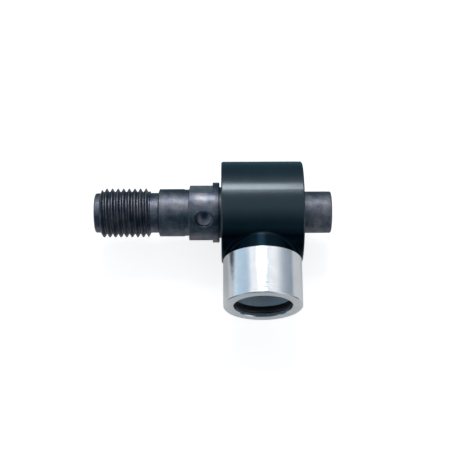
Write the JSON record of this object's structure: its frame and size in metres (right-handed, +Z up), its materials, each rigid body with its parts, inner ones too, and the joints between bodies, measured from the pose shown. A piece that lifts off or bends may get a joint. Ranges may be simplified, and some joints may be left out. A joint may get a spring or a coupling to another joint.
{
  "type": "drill suction swivel adapter",
  "caption": "Swivel adapter for dust suction on a core drill: hollow threaded spindle on ball bearings in a round housing with a side hose socket.",
  "frame": {"origin": "centre of the spindle's machine-side end face, at the mouth of its threaded bore", "axes": "+X along the spindle axis out of the machine end, the core bit end points to -X; -Y out of the hose socket; +Z up"},
  "size_m": [0.1524, 0.0982, 0.066],
  "materials": {
    "anodised_housing": "black anodised, satin, fine turning marks",
    "turned_aluminium": "bright turned",
    "blackened_steel": "turned and blackened, oiled",
    "black_rubber": "smooth nitrile rubber",
    "bearing_steel": "ground and polished",
    "spring_steel": "phosphated spring steel",
    "cage_plastic": "glass-filled polyamide"
  },
  "bodies": {
    "housing": {"housing": "anodised_housing", "hose_sleeve": "turned_aluminium", "hose_seal_ring": "black_rubber", "sleeve_o_ring": "black_rubber", "front_bearing_outer_ring": "bearing_steel", "rear_bearing_outer_ring": "bearing_steel", "front_bearing_seals": "black_rubber", "rear_bearing_seals": "black_rubber", "front_retaining_ring": "spring_steel", "rear_retaining_ring": "spring_steel", "front_lip_seal": "black_rubber", "rear_lip_seal": "black_rubber"},
    "spindle": {"spindle": "blackened_steel", "front_spacer": "blackened_steel", "front_bearing_inner_ring": "bearing_steel", "rear_bearing_inner_ring": "bearing_steel", "shaft_retaining_ring": "spring_steel"},
    "front_ball_set": {"front_balls": "bearing_steel", "front_cage": "cage_plastic"},
    "rear_ball_set": {"rear_balls": "bearing_steel", "rear_cage": "cage_plastic"}
  },
  "joints": [
    {"name": "spindle_spin", "type": "hinge", "parent": "housing", "child": "spindle", "pos_m": [0, 0, 0], "axis": [1, 0, 0], "continuous": true},
    {"name": "front_ball_set_spin", "type": "hinge", "parent": "housing", "child": "front_ball_set", "pos_m": [0, 0, 0], "axis": [1, 0, 0], "continuous": true},
    {"name": "rear_ball_set_spin", "type": "hinge", "parent": "housing", "child": "rear_ball_set", "pos_m": [0, 0, 0], "axis": [1, 0, 0], "continuous": true}
  ],
  "couplings": [
    {"joint": "front_ball_set_spin", "follows": "spindle_spin", "ratio": 0.4382},
    {"joint": "rear_ball_set_spin", "follows": "spindle_spin", "ratio": 0.4382}
  ]
}
